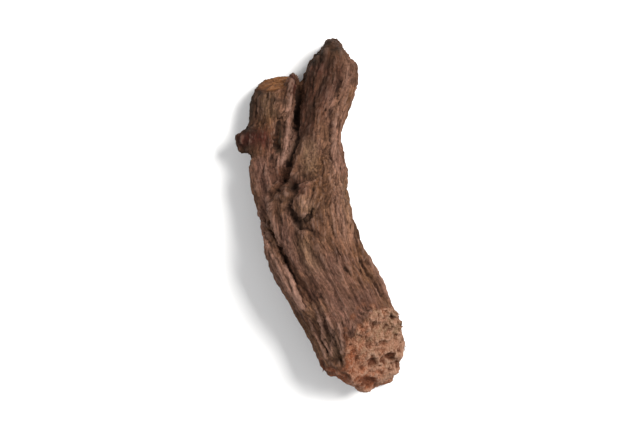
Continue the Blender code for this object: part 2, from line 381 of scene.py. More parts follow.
# %% Lines and spots, in millimetres: points, half width, height (below 0 for depth)
FISSURE = (
    (-3.5, 21.5), (-3.3, 19.4), (-3.45, 16.0), (-3.7, 12.0), (-3.8, 10.6), (-4.2, 9.3), (-4.9, 7.4),
)
STRIP_TOP = ((-8.1, 2.2), (-7.5, -0.6), (-6.6, -2.9), (-6.0, -4.8))
STRIP_END = ((-5.3, -8.6), (-4.9, -9.4), (-4.3, -11.1), (-3.6, -12.8), (-2.5, -14.6))
STRIP_LINE = ((-8.5, -3.3), (-6.8, -7.1), (-4.3, -12.1))
STRIP_CRACK = ((-7.9, -1.6), (-6.6, -4.6), (-5.4, -7.1), (-4.1, -9.6), (-3.0, -12.1), (-2.2, -14.6))
SCAR_LEFT = ((-4.7, 0.7), (-4.1, -0.6), (-3.6, -1.5), (-3.1, -2.5))
SCAR_RIGHT = ((-1.2, 0.1), (-1.7, -0.9), (-2.5, -1.7), (-3.1, -2.5))
SCAR_TAIL = ((-3.0, -2.4), (-1.2, -3.2), (-0.7, -4.0))
LOOSE_FIBRES = (
    ((-0.4, -15.4), (0.4, -17.6), (0.6, -19.8), (1.8, -21.8)),
    ((1.2, -16.4), (1.9, -18.9), (1.9, -21.2)),
    ((2.7, -17.4), (3.2, -19.4), (3.5, -21.6)),
    ((-1.6, -16.6), (-0.4, -19.4), (0.9, -22.4)),
)
MARKS = (
    (FISSURE, 0.34, -0.60),
    # furrows in the left prong, and the worn ridge beside the fissure
    (((-6.4, 14.3), (-6.8, 11.8), (-7.5, 8.0)), 0.22, -0.40),
    (((-8.1, 18.9), (-8.5, 16.0), (-8.9, 13.9)), 0.16, -0.22),
    (((-4.5, 20.6), (-4.8, 17.3), (-5.0, 14.3), (-5.0, 11.0), (-5.5, 9.2), (-5.9, 7.8)), 0.46, 0.42),
    # the peeled strip, the crack to its right and the line along it
    (((-9.6, 0.0), (-8.7, -2.5), (-7.7, -5.4), (-6.4, -8.3), (-4.7, -11.7), (-3.0, -14.6)), 0.62, 0.25),
    (STRIP_TOP, 0.40, 0.28), (STRIP_END, 0.34, 0.20),
    (((-8.4, -1.8), (-7.4, -3.9), (-6.8, -5.0)), 0.40, 0.30),
    (STRIP_CRACK, 0.20, -0.45),
    (STRIP_LINE, 0.15, -0.26),
    # the scar below the fork
    (SCAR_LEFT, 0.36, -0.46), (SCAR_RIGHT, 0.32, -0.42),
    (SCAR_TAIL, 0.20, -0.22),
    # cracks and the worn ridge of the right prong
    (((2.6, 22.7), (3.0, 20.2), (2.8, 17.7)), 0.16, -0.30),
    (((0.3, 25.2), (-0.5, 22.3), (-1.4, 19.4)), 0.15, -0.25),
    (((1.6, 17.3), (1.4, 13.1), (1.6, 8.9), (2.4, 4.2)), 0.13, -0.20),
    (((-0.9, 18.1), (-1.2, 14.3), (-1.8, 10.6)), 0.14, -0.20),
    (((2.2, 16.0), (2.2, 11.0), (2.3, 6.8), (3.5, 2.1)), 0.35, 0.20),
    # the ridge down the right edge, with a crack beside it
    (((5.8, -4.6), (7.4, -7.1), (9.1, -10.0), (11.0, -13.4)), 0.42, 0.30),
    (((6.2, -7.5), (7.9, -10.4), (9.8, -13.4)), 0.18, -0.40),
    # long thin cracks down the trunk
    (((0.5, 7.6), (0.7, 3.4), (1.1, -0.8), (2.4, -5.0), (4.1, -9.2)), 0.13, -0.20),
    (((1.8, 8.5), (2.0, 3.4), (2.6, -1.6), (4.1, -5.8), (6.2, -10.9)), 0.13, -0.20),
    (((-0.9, -1.6), (0.3, -5.8), (2.0, -10.0), (3.7, -13.4)), 0.13, -0.18),
    # splits above the torn end, and the loose fibres between them
    (((0.3, -16.6), (0.9, -18.2), (1.3, -19.4)), 0.40, 0.28),
    (((1.9, -17.9), (2.2, -19.2), (2.7, -20.8)), 0.12, -0.30),
    (((2.5, -20.5), (2.8, -22.0), (2.9, -23.3)), 0.40, 0.42),
    (((3.3, -16.8), (3.6, -18.2), (4.0, -19.8)), 0.12, -0.30),
    (((-1.0, -18.2), (0.0, -19.8), (1.1, -21.5)), 0.13, -0.30), (LOOSE_FIBRES[0], 0.24, 0.34),
    (LOOSE_FIBRES[1], 0.22, 0.34), (LOOSE_FIBRES[2], 0.22, 0.30),
    (LOOSE_FIBRES[3], 0.22, 0.28),
)
PITS = (
    # the hollow under the fork, the pits near it and the small knobs round it
    ((-4.1, 3.8), 0.48, -0.60), ((-6.4, 3.4), 0.30, -0.38), ((-2.7, 2.8), 0.26, -0.34),
    ((-1.1, 3.3), 0.28, -0.30), ((-4.6, 1.5), 0.30, -0.34), ((-2.3, 5.4), 0.30, -0.36),
    ((-5.4, 4.9), 0.24, -0.30), ((-6.0, 1.4), 0.24, -0.30), ((-7.2, 4.6), 0.24, -0.28),
    ((-8.1, -1.6), 0.35, -0.35), ((-0.4, 5.4), 0.22, -0.24),
    ((-5.2, 2.6), 0.45, 0.30), ((-3.2, 3.9), 0.35, 0.28), ((-1.9, 4.2), 0.40, 0.26),
    ((-4.2, 5.6), 0.40, 0.28), ((-6.6, 2.3), 0.40, 0.26), ((-3.4, 1.9), 0.36, 0.26),
    # a pit beside the worn ridge, and the swelling above the scar
    ((-6.6, 10.3), 0.34, -0.45), ((-2.0, 1.0), 0.80, 0.20), ((-2.3, -0.7), 0.50, 0.30),
)
# Dents and swellings at the outline: middle in all three directions, half width, height
DENTS = (
    ((12.2, -16.0, 5.0), 1.8, -0.75),
    ((7.0, -27.4, 4.0), 2.2, 0.35),
)


def soft_spot(off, half_width):
    """1 in the middle, falling softly to 0 beyond the half width."""
    return np.exp(-((off / half_width) ** 2))


def waves_in_plan(size, first_seed, second_seed):
    """Two patterns side by side, to push what is seen from above about."""
    return np.column_stack((waves(mm, size, first_seed), waves(mm, size, second_seed)))


def off_line(places, points):
    """Distance of each place from a line through the points, both seen from above."""
    nearest = np.full(len(places), np.inf)
    for start, end in zip(points, points[1:]):
        start, way = np.array(start), np.array(end) - np.array(start)
        share = np.clip((places - start) @ way / (way @ way), 0.0, 1.0)
        foot = start + share[:, None] * way
        nearest = np.minimum(nearest, np.linalg.norm(places - foot, axis=1))
    return nearest


facing_up = step(0.05, 0.45, calm_normals[:, 2])
wobble = 0.24 * waves_in_plan(1.1, 81.0, 91.0)
wobble += 0.20 * waves_in_plan(0.45, 83.0, 93.0)
seen_from_above = mm[:, :2] + wobble
marks = np.zeros(len(mm))
for points, half_width, rise in MARKS:
    marks += rise * soft_spot(off_line(seen_from_above, points), half_width)
pits = [
    (soft_spot(np.linalg.norm(seen_from_above - centre, axis=1), half_width), rise)
    for centre, half_width, rise in PITS
]
for spot, rise in pits:
    marks += rise * spot
marks *= facing_up
for centre, half_width, rise in DENTS:
    marks += rise * soft_spot(np.linalg.norm(mm - centre, axis=1), half_width)
print(len(MARKS), "lines,", len(PITS), "spots and", len(DENTS), "dents")

# %% [markdown]
# Wear and weather have coloured the piece unevenly. The tip and the stub are wine brown, the ridges
# that have been rubbed are pale, the bark in the fork is olive and parts of the trunk are mauve. The
# left edge is nearly black, and the dark tint is partly dark bark and partly painted shade: on the
# left edges and the left half of the right prong, away from the light, a painted shadow under the
# stub, and in the fissure, cracks and pits. Each is a soft spot, or a soft band along a line. The five
# tints are stored apart, and the bark finish mixes them in. The pale and mauve ones touch only skin
# that faces up, and the others run on down the sides.

# %% Tinted places, in millimetres: points, half width, strength
TINTS = {
    # dark bark, and painted shade: the left edges away from the light, the left half of the right
    # prong, a shadow under the stub, and the fissure, cracks and pits
    "dark_and_shade": (
        (((-11.2, 20.2), (-11.3, 13.6)), 1.20, 1.25), (((-11.3, 18.6), (-11.3, 17.2)), 1.30, 1.40),
        (((-10.6, 19.8), (-9.4, 19.0)), 0.9, 0.85), (((-13.4, 12.4), (-12.0, 13.0)), 0.9, 0.80),
        (((-13.9, 12.2), (-13.5, 10.0)), 1.2, 1.10), (((-7.9, 17.6), (-5.4, 17.2)), 0.36, 0.60),
        (((-7.0, 15.5), (-6.6, 15.2)), 0.50, 0.85),
        (((-3.45, 18.5), (-3.6, 14.0), (-3.75, 10.8), (-4.2, 9.4), (-4.9, 7.6)), 0.32, 0.95),
        (((-6.2, 14.3), (-6.2, 11.0), (-6.6, 9.4)), 0.28, 0.95),
        (((-0.8, 24.2), (0.5, 26.2), (2.6, 26.4)), 2.0, 0.95),
        (((-0.6, 23.4), (-1.3, 19.4)), 1.9, 0.50), (((1.4, 24.4), (1.2, 20.0)), 1.6, 0.45),
        (((-1.9, 21.6), (-1.7, 16.8), (-2.3, 12.5)), 1.5, 0.50),
        (((5.8, 24.0), (5.8, 20.4)), 0.5, 0.45), (((-12.6, 9.8), (-10.6, 9.6)), 0.9, 0.70),
        (((-4.3, 3.8), (-3.9, 3.8)), 1.3, 0.60), (SCAR_LEFT, 0.55, 0.62),
        (SCAR_RIGHT, 0.46, 0.62), (SCAR_TAIL, 0.34, 0.40),
        (((-3.0, -1.3), (-2.8, -2.2)), 0.62, 0.60),
        (((5.1, 0.0), (5.8, -2.9), (7.2, -5.8)), 0.5, 0.40), (STRIP_LINE, 0.16, 0.55),
        (((2.7, -21.1), (3.0, -23.4)), 0.20, 0.45), (((0.4, -16.9), (1.5, -19.8)), 0.20, 0.30),
        (((1.9, -17.9), (2.7, -20.8)), 0.20, 0.30), (((-1.0, -18.2), (1.1, -21.5)), 0.20, 0.25),
    ),
    "pale": (
        (((-4.8, 17.6), (-4.9, 14.3), (-5.0, 12.6)), 0.62, 0.55),
        (((-5.0, 12.9), (-5.1, 10.8), (-5.5, 9.2), (-5.9, 7.8)), 0.62, 1.20),
        (((-9.6, -0.6), (-8.2, -5.0), (-6.4, -8.8), (-3.2, -14.6)), 0.65, 0.75),
        (STRIP_END, 0.42, 1.10), (STRIP_TOP, 0.42, 0.60),
        (((1.8, 17.7), (2.2, 13.1), (2.2, 8.5)), 0.8, 0.45),
        (((4.4, 23.4), (4.2, 20.0), (3.0, 15.5)), 0.8, 0.40),
        (((2.4, 6.8), (2.8, 0.5), (4.5, -4.1)), 1.2, 0.30),
        (((7.4, -7.1), (11.0, -13.4)), 0.5, 0.40), (LOOSE_FIBRES[0], 0.34, 0.75),
        (LOOSE_FIBRES[1], 0.30, 0.70), (LOOSE_FIBRES[2], 0.28, 0.55),
        (LOOSE_FIBRES[3], 0.28, 0.55),
    ),
    "wine": (
        (((1.4, 26.7), (2.2, 26.5)), 1.8, 0.70), (((2.8, 23.6), (3.0, 20.2)), 1.2, 0.60),
        (((-4.1, 21.4), (-4.3, 18.6)), 0.9, 0.95), (((-13.4, 11.2), (-11.0, 11.6)), 1.8, 1.60),
        (((-11.0, 11.6), (-8.5, 11.6)), 1.7, 1.10), (((-5.6, 5.1), (-3.5, 3.4)), 1.9, 0.50),
        (((0.2, 23.7), (-1.0, 19.4)), 1.8, 0.60),
        (((1.3, 21.8), (0.9, 17.5), (0.2, 15.5)), 1.3, 0.55),
        (((-1.6, 20.6), (-1.7, 16.8), (-2.1, 12.5)), 1.6, 0.70),
    ),
    "mauve": (
        (((1.6, -9.5), (4.2, -16.5)), 3.8, 0.70),
        (((-9.2, 7.2), (-8.4, 3.0), (-8.6, 0.4)), 1.3, 0.80),
        (((-5.8, -2.2), (-3.8, -7.6)), 1.3, 0.60),
    ),
    "olive": (
        (((-8.5, 18.9), (-8.3, 16.0)), 1.4, 0.50), (((-1.8, 11.0), (-1.8, 6.8)), 1.6, 0.50),
        (((-2.4, 1.2), (-1.8, 0.6)), 1.2, 0.45), (((-2.2, -5.6), (-1.0, -8.2)), 1.7, 0.35),
        (((4.1, 4.7), (4.3, -0.4)), 1.0, 0.35), (((1.6, -19.5), (2.4, -21.5)), 1.2, 0.50),
    ),
}
PIT_SHADE = 0.75
KNOB_WEAR = 0.35
# how far up the skin has to face: from no tint at the first number to all of it at the second
TOP_ONLY, TOP_AND_SIDES = (-0.1, 0.6), (-0.5, 0.3)
tint_breaks = 1.0 + 0.45 * waves(grain, (0.8, 0.8, 3.0), 95.0)
tints = {}
for tint_name, bands in TINTS.items():
    strength = np.zeros(len(mm))
    for points, half_width, most in bands:
        band = most * soft_spot(off_line(seen_from_above, points), half_width)
        strength = np.maximum(strength, band)
    reach = TOP_ONLY if tint_name in ("pale", "mauve") else TOP_AND_SIDES
    tints[tint_name] = strength * step(*reach, calm_normals[:, 2]) * tint_breaks
    print(tint_name, len(bands), "places")
# each pit gets painted shade in the dark tint, and each knob the pale of wear
for spot, rise in pits:
    tint_name, most = ("dark_and_shade", PIT_SHADE) if rise < 0.0 else ("pale", KNOB_WEAR)
    tints[tint_name] = np.maximum(tints[tint_name], most * facing_up * spot)

# %% [markdown]
# ## Torn and sawn wood
#
# Torn madder wood is spongy. It breaks into small knobs with creases between them, and where a
# bundle of vessels came out there is a ragged hole. The holes of this piece are listed one by one, and
# noise bends their outlines. The sawn end is nearly flat, with faint saw lines across it, fine rays
# from its middle and three short cracks.

# %% Relief of the bare wood
TIP_FILL = 0.25
KNOB_RISE, KNOB_RIM_RISE = 0.30, 0.20
CRUMB_RISE, CRUMB_RIM_RISE = 0.10, 0.08
HOLE_RIM_RISE, HOLE_RIM_PLACE, HOLE_RIM_WIDTH = 0.16, 1.45, 0.30
TORN_GRIT_RISE = 0.13
SAW_LINE_RISE, RAY_RISE, SAW_CRACK_DEPTH = 0.06, 0.10, 0.22
TORN_HOLES = (
    # seen from above: middle, half width and half length, depth
    ((8.1, -23.1), (0.85, 0.80), 0.75), ((10.9, -22.2), (0.72, 0.60), 0.68),
    ((12.2, -21.3), (0.42, 0.42), 0.45), ((12.1, -23.5), (0.50, 0.55), 0.45),
    ((9.8, -22.7), (0.42, 0.55), 0.50), ((7.1, -26.0), (1.40, 0.90), 0.55),
    ((9.3, -24.6), (0.50, 0.42), 0.34), ((10.9, -24.2), (0.45, 0.40), 0.34),
    ((6.3, -24.0), (0.40, 0.50), 0.30),
    ((9.7, -20.2), (0.75, 0.50), 0.38), ((8.1, -17.8), (0.40, 0.75), 0.34),
    ((11.6, -19.2), (0.35, 0.70), 0.28), ((9.0, -16.1), (0.22, 1.10), 0.30),
    ((7.3, -20.3), (0.35, 0.80), 0.25), ((5.6, -22.4), (0.30, 0.70), 0.28),
    ((8.4, -21.3), (0.45, 0.35), 0.28),
)
TORN_RIM = ((13.1, -19.0), (12.9, -21.2), (12.5, -23.4), (10.2, -25.6), (8.9, -26.5))
TORN_MIDDLE = np.array((8.3, -20.7, 6.0))
TOWARDS_CREAM = np.array((0.88, 0.42, 0.20))
SAW_CENTRE = np.array((-6.9, 20.6, 3.4))
# cracks from the middle of the cut: direction, nearer and farther end
SAW_CRACKS = ((0.5, 0.3, 2.3), (2.9, 2.0, 4.0), (4.4, 0.9, 2.7))
SAW_CRACK_WIDTH, PITH_WIDTH = 0.13, 0.30

bent = mm + 0.4 * waves(mm, 1.5, 41.0)[:, None]
knob_tone, knob_rim = scales(bent, 1.9, 12.0)
crumb_tone, crumb_rim = scales(bent, 0.75, 15.0)
ragged = mm[:, :2] + (0.40 * waves_in_plan(1.0, 42.0, 45.0) + 0.22 * waves_in_plan(0.5, 44.0, 46.0))
holes = np.zeros(len(mm))
hole_rims = np.zeros(len(mm))
for centre, (half_width, half_length), depth in TORN_HOLES:
    off = np.linalg.norm((ragged - centre) / (half_width, half_length), axis=1)
    holes = np.maximum(holes, depth * np.exp(-(off**3.2)))
    # the rims are raised here, and the torn finish also paints a highlight on them
    hole_rims = np.maximum(hole_rims, depth * soft_spot(off - HOLE_RIM_PLACE, HOLE_RIM_WIDTH))
hole_rims = np.maximum(hole_rims, 0.6 * soft_spot(off_line(ragged, TORN_RIM), 0.5))
holes *= step(0.0, 0.4, calm_normals[:, 2])
kinks = np.column_stack((waves_in_plan(0.9, 63.0, 65.0), np.zeros(len(mm))))
fibrous = step(-22.0, -18.5, mm[:, 1] + 0.8 * waves(mm, 2.0, 59.0))
torn_height = KNOB_RIM_RISE * (np.minimum(knob_rim, 0.4) - 0.2) + KNOB_RISE * (knob_tone - 0.5) - holes
torn_height += (
    CRUMB_RIM_RISE * (np.minimum(crumb_rim, 0.4) - 0.15)
    + CRUMB_RISE * (crumb_tone - 0.5)
    + HOLE_RIM_RISE * hole_rims
)
torn_height += 0.14 * waves(mm, 1.1, 43.0) + TORN_GRIT_RISE * waves(mm, 0.34, 58.0)
long_ridges = ridges(grain, (0.7, 0.7, 3.0), 57.0) - RIDGE_MEAN
short_ridges = ridges(grain + 0.3 * kinks, (0.5, 0.5, 1.4), 61.0) - RIDGE_MEAN
torn_height += (0.04 + 0.22 * fibrous) * long_ridges
torn_height += (0.16 - 0.04 * fibrous) * short_ridges
towards_cream = ((mm - TORN_MIDDLE) @ TOWARDS_CREAM) / 5.0
creamy = step(-0.9, 1.1, towards_cream + 1.2 * waves(mm, 2.2, 47.0))

saw_facing = unit(np.array(SAW_PLANE[1]))
from_centre = mm - SAW_CENTRE
in_saw_plane = from_centre - (from_centre @ saw_facing)[:, None] * saw_facing
ring_distance = np.linalg.norm(in_saw_plane, axis=1)
# painted shade over the left side of the sawn cut
stained = step(0.2, -3.2, in_saw_plane[:, 0] + 0.8 * waves(mm, 1.2, 49.0))
saw_right = unit(np.cross(saw_facing, (0.0, 0.0, 1.0)))
saw_up = np.cross(saw_right, saw_facing)
on_cut = np.column_stack((in_saw_plane @ saw_right, in_saw_plane @ saw_up))
towards_bark = np.column_stack((on_cut / (ring_distance + 0.2)[:, None], 0.12 * ring_distance))
rays = waves(towards_bark, (0.16, 0.16, 0.5), 52.0)
ring_distance = ring_distance * (1.0 + 0.12 * waves(towards_bark, 0.9, 50.0))
ring_distance += 0.25 * waves(mm, 1.6, 51.0)
saw_cracks = 0.7 * soft_spot(ring_distance, PITH_WIDTH)
ragged_cut = on_cut + 0.15 * waves(mm, 0.7, 54.0)[:, None]
for turn, first, last in SAW_CRACKS:
    way = np.array((math.cos(turn), math.sin(turn)))
    from_crack = off_line(ragged_cut, (way * first, way * last))
    saw_cracks = np.maximum(saw_cracks, 0.8 * soft_spot(from_crack, SAW_CRACK_WIDTH))
saw_height = SAW_LINE_RISE * waves(in_saw_plane, (3.0, 3.0, 0.35), 7.0) + 0.10 * waves(mm, 0.6, 8.0)
saw_height += RAY_RISE * rays - SAW_CRACK_DEPTH * saw_cracks

tip_fill = TIP_FILL * step(22.5, 25.5, mm[:, 1])
total = bark * (height + tip_fill) + torn * torn_height + sawn * saw_height + (1.0 - sawn) * marks
normals = read_points(root.data, "normal")
low = step(0.0, 0.6, mm[:, 2])
raised = mm + normals * (total * (0.25 + 0.75 * low))[:, None]
write_points(root.data, raised * MM)
work_in(root, "SMOOTH", factor=0.15, iterations=1)
print("raised; lowest point at", round(read_points(root.data)[:, 2].min() / MM, 2), "mm")

# %% [markdown]
# ## What the finishes need to know
#
# A finish can't see whether a point lies in a furrow, so that is measured here and stored on the
# skin: how far the point lies below its smoothed surroundings, close by and wider. Its grain
# address, scale of cork, tints and nearness to a torn edge are stored as well.

# %% Values stored on the skin
CLOSE_ROUNDS, WIDE_ROUNDS, EDGE_ROUNDS = 8, 40, 7
CLOSE_SHARE, WIDE_SHARE = 2.4, 0.45


def store(mesh, name, values):
    kind, what = ("FLOAT_VECTOR", "vector") if values.ndim == 2 else ("FLOAT", "value")
    layer = mesh.attributes.new(name, kind, "POINT")
    layer.data.foreach_set(what, values.astype(np.float32).ravel())


fine = read_points(root.data) / MM
fine_normals = read_points(root.data, "normal")
close_by = smoothed(fine, ends, CLOSE_ROUNDS)
wider = smoothed(close_by, ends, WIDE_ROUNDS)
rise_close = np.sum((fine - close_by) * fine_normals, axis=1)
rise_wide = np.sum((fine - wider) * unit(smoothed(fine_normals, ends, CLOSE_ROUNDS)), axis=1)
# the finishes paint shade where this relief is low: in furrows, creases and cracks
relief = np.clip(0.5 + rise_close * CLOSE_SHARE + rise_wide * WIDE_SHARE, 0.0, 1.0)
edge = smoothed(np.maximum(torn, sawn), ends, EDGE_ROUNDS)

skin_values = {"scale_tone": scale_tone, "knob_tone": knob_tone, "edge": edge, "ring": ring_distance}
skin_values.update(tints, creamy=creamy, hole=holes, hole_rim=hole_rims, stained=stained)
skin_values.update(ray=rays, saw_crack=saw_cracks)
store(root.data, "grain", swayed)
store(root.data, "relief", relief)
for value_name, values in skin_values.items():
    store(root.data, value_name, values)
print("relief:", [round(float(np.percentile(relief, p)), 2) for p in (1, 25, 50, 75, 99)])

# %% [markdown]
# ## Finishes
#
# Bark, sawn wood and torn wood are three finishes. Each mixes a few earth colours by streaks and
# blotches, darkens in furrows as painted shade and pales on worn ridges, and has a fine bump that
# is too small for the skin's grid. A few helpers keep the node work short.

# %% Helpers for node work
DRY_SHINE = 0.10
WHITE = (1.0, 1.0, 1.0)


class Finish:
    """A material under construction: makes nodes and joins them."""

    def __init__(self, name):
        self.material = bpy.data.materials.new(name)
        self.material.use_nodes = True
        self.nodes = self.material.node_tree.nodes
        self.links = self.material.node_tree.links
        self.shader = self.nodes["Principled BSDF"]
        self.shader.inputs["Specular IOR Level"].default_value = DRY_SHINE

    def put(self, socket, value):
        if isinstance(value, bpy.types.NodeSocket):
            self.links.new(value, socket)
        elif isinstance(value, tuple) and len(value) == 3 and socket.type == "RGBA":
            socket.default_value = (*value, 1.0)
        else:
            socket.default_value = value

    def node(self, kind, **inputs):
        """A new node. Its inputs are given by name, with _ for a space."""
        node = self.nodes.new("ShaderNode" + kind)
        for name, value in inputs.items():
            self.put(node.inputs[name.replace("_", " ")], value)
        return node

    def stored(self, name, vector=False):
        node = self.node("Attribute")
        node.attribute_name = name
        return node.outputs["Vector" if vector else "Fac"]

    def place_in_mm(self):
        return self.stretched(self.node("TexCoord").outputs["Object"], 1.0 / MM)

    def stretched(self, vector, stretch, shift=(0.0, 0.0, 0.0)):
        """The vector times stretch, which is one number or one for each axis."""
        if not isinstance(stretch, tuple):
            stretch = (stretch,) * 3
        return self.node("Mapping", Vector=vector, Location=shift, Scale=stretch).outputs["Vector"]

    def cloud(self, vector, detail=4.0, rough=0.55, twist=0.0):
        settings = {"Scale": 1.0, "Detail": detail, "Roughness": rough, "Distortion": twist}
        return self.node("TexNoise", Vector=vector, **settings).outputs["Fac"]

    def cells(self, vector):
        return self.node("TexVoronoi", Vector=vector, Scale=1.0).outputs["Distance"]

    def stretch_range(self, value, low, high, to_low=0.0, to_high=1.0):
        settings = {"From_Min": low, "From_Max": high, "To_Min": to_low, "To_Max": to_high}
        return self.node("MapRange", Value=value, **settings).outputs["Result"]

    def mix(self, share, first, second, way="MIX"):
        node = self.node("Mix")
        node.data_type = "RGBA"
        node.blend_type = way
        colours = [s for s in node.inputs if s.type == "RGBA"]
        self.put(node.inputs["Factor"], share)
        self.put(colours[0], first)
        self.put(colours[1], second)
        return next(s for s in node.outputs if s.type == "RGBA")

    def maths(self, how, first, second=0.0):
        node = self.node("Math")
        node.operation = how
        self.put(node.inputs[0], first)
        self.put(node.inputs[1], second)
        return node.outputs["Value"]

    def times(self, first, second):
        return self.maths("MULTIPLY", first, second)

    def ramp(self, value, *stops):
        node = self.node("ValToRGB", Fac=value)
        while len(node.color_ramp.elements) < len(stops):
            node.color_ramp.elements.new(0.5)
        for element, (place, colour) in zip(node.color_ramp.elements, stops):
            element.position = place
            element.color = (*colour, 1.0)
        return node.outputs["Color"]

    def over(self, colour, upper, value, low, high, most=1.0):
        """The upper colour laid on: none of it where the value is at low, most where it is at high."""
        return self.mix(self.stretch_range(value, low, high, 0.0, most), colour, upper)

    def toned(self, colour, share, value, stops):
        """The colour times a ramp over the value, by that share."""
        return self.mix(share, colour, self.ramp(value, *stops), "MULTIPLY")

    def bump(self, height, distance, strength=1.0, below=None):
        node = self.node("Bump", Height=height, Distance=distance, Strength=strength)
        if below is not None:
            self.put(node.inputs["Normal"], below)
        return node.outputs["Normal"]

    def done(self, colour, roughness, normal):
        self.put(self.shader.inputs["Base Color"], colour)
        self.put(self.shader.inputs["Roughness"], roughness)
        self.put(self.shader.inputs["Normal"], normal)
        return self.material


print("helpers ready")

# %% [markdown]
# ### Bark
#
# The bark is a dull brown between mauve and tan. Long streaks run with the grain. Cork scales differ
# a little from each other, hollows are painted almost black as shade, and ridges that have been
# rubbed show a pinkish tan.

# %% The bark finish
BROWN = (0.071, 0.0335, 0.0155)
MAUVE = (0.079, 0.0395, 0.0265)
TAN = (0.104, 0.057, 0.031)
DEEP_BROWN = (0.034, 0.016, 0.009)
FURROW_SHADE = (0.012, 0.006, 0.004)
WORN = (0.182, 0.105, 0.078)
PALE_MAUVE = (0.090, 0.047, 0.035)
WINE_BARK = (0.029, 0.008, 0.005)
OLIVE_BARK = (0.092, 0.060, 0.034)
# near-black bark, also used as painted shade
BLACK_BARK_AND_SHADE = (0.016, 0.0095, 0.0055)
RED_RIM = (0.080, 0.030, 0.016)
THREAD_TONES = ((0.34, (0.50, 0.46, 0.44)), (0.50, WHITE), (0.66, (1.6, 1.53, 1.5)))
FIBRE_TONES = ((0.30, (0.55, 0.52, 0.50)), (0.50, WHITE), (0.70, (1.5, 1.47, 1.46)))
SPECK_TONES = ((0.34, (0.60, 0.56, 0.54)), (0.50, WHITE), (0.68, (1.45, 1.41, 1.39)))


def bark_finish():
    f = Finish("furrowed_bark")
    along = f.stored("grain", vector=True)
    place = f.place_in_mm()
    relief_here = f.stored("relief")
    blotches = f.cloud(f.stretched(place, 0.16), detail=3.0)
    shifted = f.stretched(along, (0.22, 0.22, 0.10), (3.0, 1.0, 0.0))
    tan_patches = f.cloud(shifted, detail=4.0, twist=0.6)
    streaks = f.cloud(f.stretched(along, (1.6, 1.6, 0.16)), detail=5.0, rough=0.6, twist=0.3)
    threads = f.cloud(f.stretched(along, (3.0, 3.0, 0.42)), detail=3.0, rough=0.6, twist=0.2)
    fibres = f.cloud(f.stretched(along, (6.0, 6.0, 0.55)), detail=4.0, rough=0.65)
    specks = f.cloud(f.stretched(place, 3.2), detail=3.0, rough=0.7)

    colour = f.mix(f.stretch_range(blotches, 0.40, 0.60), BROWN, MAUVE)
    colour = f.over(colour, TAN, tan_patches, 0.46, 0.66, 0.60)
    colour = f.over(colour, DEEP_BROWN, streaks, 0.54, 0.34, 0.60)
    for tint_name, tint_colour in (
        ("mauve", PALE_MAUVE), ("olive", OLIVE_BARK), ("wine", WINE_BARK), ("pale", WORN)
    ):
        broken = f.times(f.stored(tint_name), f.stretch_range(threads, 0.30, 0.70, 0.6, 1.2))
        colour = f.mix(broken, colour, tint_colour)
    lighter = f.mix(1.0, colour, (1.32, 1.28, 1.27), "MULTIPLY")
    darker = f.mix(1.0, colour, (0.74, 0.69, 0.67), "MULTIPLY")
    colour = f.mix(f.stored("scale_tone"), darker, lighter)
    colour = f.toned(colour, 0.9, threads, THREAD_TONES)
    colour = f.toned(colour, 0.7, fibres, FIBRE_TONES)
    colour = f.toned(colour, 0.7, specks, SPECK_TONES)
    worn_here = f.maths("ADD", relief_here, f.stretch_range(streaks, 0.3, 0.7, -0.10, 0.10))
    colour = f.over(colour, WORN, worn_here, 0.58, 0.95, 0.50)
    # the dark tint: dark bark, and painted shade away from the light and in the fissure, cracks and
    # pits
    broken = f.times(f.stored("dark_and_shade"), f.stretch_range(fibres, 0.32, 0.68, 0.45, 1.30))
    broken = f.times(broken, f.stretch_range(specks, 0.35, 0.65, 0.75, 1.15))
    colour = f.mix(broken, colour, BLACK_BARK_AND_SHADE)
    # painted shade: low places of the relief darkened towards black
    colour = f.over(colour, FURROW_SHADE, relief_here, 0.42, 0.04, 0.80)
    colour = f.over(colour, RED_RIM, f.stored("edge"), 0.05, 0.45, 0.40)

    roughness = f.stretch_range(relief_here, 0.2, 0.9, 0.95, 0.78)
    normal = f.bump(fibres, 0.16 * MM, 0.9)
    normal = f.bump(specks, 0.10 * MM, 0.8, normal)
    return f.done(colour, roughness, normal)


bark_material = bark_finish()
print("bark:", len(bark_material.node_tree.nodes), "nodes")

# %% [markdown]
# ### Torn wood
#
# The open wood is pale and pinkish, creamier on the knobs that stand out. It is reddish brown in the
# holes and where it meets the bark. Painted shade darkens the holes and creases further, and a painted
# highlight lies on the rims round the holes and along the edge of the torn face.

# %% The torn wood finish
PINK_WOOD = (0.184, 0.062, 0.029)
CREAM_WOOD = (0.248, 0.150, 0.104)
PALE_KNOB_AND_RIM_HIGHLIGHT = (0.290, 0.175, 0.120)
OLIVE_WOOD = (0.134, 0.090, 0.051)
BROWN_WOOD = (0.085, 0.038, 0.018)
HOLE_AND_CREASE_SHADE = (0.066, 0.022, 0.011)
CRUMB_TONES = ((0.32, (0.62, 0.50, 0.44)), (0.52, WHITE), (0.70, (1.22, 1.2, 1.18)))
GRIT_TONES = ((0.15, (1.18, 1.18, 1.18)), (0.45, (0.98, 0.96, 0.94)), (0.75, (0.62, 0.50, 0.42)))


